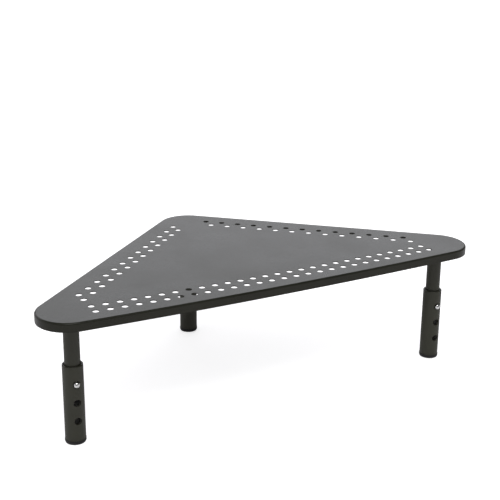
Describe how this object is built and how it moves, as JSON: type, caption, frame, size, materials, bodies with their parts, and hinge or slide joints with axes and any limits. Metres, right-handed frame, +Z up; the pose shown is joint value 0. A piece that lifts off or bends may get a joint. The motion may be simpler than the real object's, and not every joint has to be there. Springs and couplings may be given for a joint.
{
  "type": "corner monitor riser",
  "caption": "Rounded triangular steel tray with vent rows on telescopic legs, each set to one of its heights by a spring snap button.",
  "frame": {"origin": "on the desk, under the centre of the tray's width and depth", "axes": "+X along the front edge, +Y from the front edge to the back corner, +Z up"},
  "size_m": [0.5046, 0.2709, 0.1394],
  "materials": {
    "powder_coat": "fine-textured black powder coat, satin",
    "powder_coat_plain": "black powder coat",
    "plated_steel": "zinc plated",
    "spring_steel": "blued spring strip",
    "button_steel": "polished nickel",
    "guide_plastic": "moulded black plastic",
    "foot_plastic": "moulded black plastic"
  },
  "bodies": {
    "riser": {"tray": "powder_coat", "leg_socket_left": "powder_coat_plain", "tube_plug_left": "plated_steel", "upper_tube_left": "powder_coat", "tube_end_glide_left": "guide_plastic", "snap_spring_left": "spring_steel", "leg_socket_right": "powder_coat_plain", "tube_plug_right": "plated_steel", "upper_tube_right": "powder_coat", "tube_end_glide_right": "guide_plastic", "snap_spring_right": "spring_steel", "leg_socket_back": "powder_coat_plain", "tube_plug_back": "plated_steel", "upper_tube_back": "powder_coat", "tube_end_glide_back": "guide_plastic", "snap_spring_back": "spring_steel"},
    "button_left": {"snap_button_left": "button_steel"},
    "lower_leg_left": {"leg_sleeve_left": "powder_coat", "mouth_bush_left": "guide_plastic", "foot_cap_left": "foot_plastic"},
    "button_right": {"snap_button_right": "button_steel"},
    "lower_leg_right": {"leg_sleeve_right": "powder_coat", "mouth_bush_right": "guide_plastic", "foot_cap_right": "foot_plastic"},
    "button_back": {"snap_button_back": "button_steel"},
    "lower_leg_back": {"leg_sleeve_back": "powder_coat", "mouth_bush_back": "guide_plastic", "foot_cap_back": "foot_plastic"}
  },
  "joints": [
    {"name": "sleeve_slide_left", "type": "slide", "parent": "riser", "child": "lower_leg_left", "axis": [0, 0, 1], "range_m": [0, 0.0392], "deforming": ["snap_button_left"]},
    {"name": "button_press_left", "type": "slide", "parent": "riser", "child": "button_left", "axis": [0, 1, 0], "range_m": [0, 0.005], "stiffness_N_per_m": 1500, "springref_m": -0.002, "deforming": ["snap_spring_left"]},
    {"name": "sleeve_slide_right", "type": "slide", "parent": "riser", "child": "lower_leg_right", "axis": [0, 0, 1], "range_m": [0, 0.0392], "deforming": ["snap_button_right"]},
    {"name": "button_press_right", "type": "slide", "parent": "riser", "child": "button_right", "axis": [0, 1, 0], "range_m": [0, 0.005], "stiffness_N_per_m": 1500, "springref_m": -0.002, "deforming": ["snap_spring_right"]},
    {"name": "sleeve_slide_back", "type": "slide", "parent": "riser", "child": "lower_leg_back", "axis": [0, 0, 1], "range_m": [0, 0.0392], "deforming": ["snap_button_back"]},
    {"name": "button_press_back", "type": "slide", "parent": "riser", "child": "button_back", "axis": [0, -1, 0], "range_m": [0, 0.005], "stiffness_N_per_m": 1500, "springref_m": -0.002, "deforming": ["snap_spring_back"]}
  ]
}
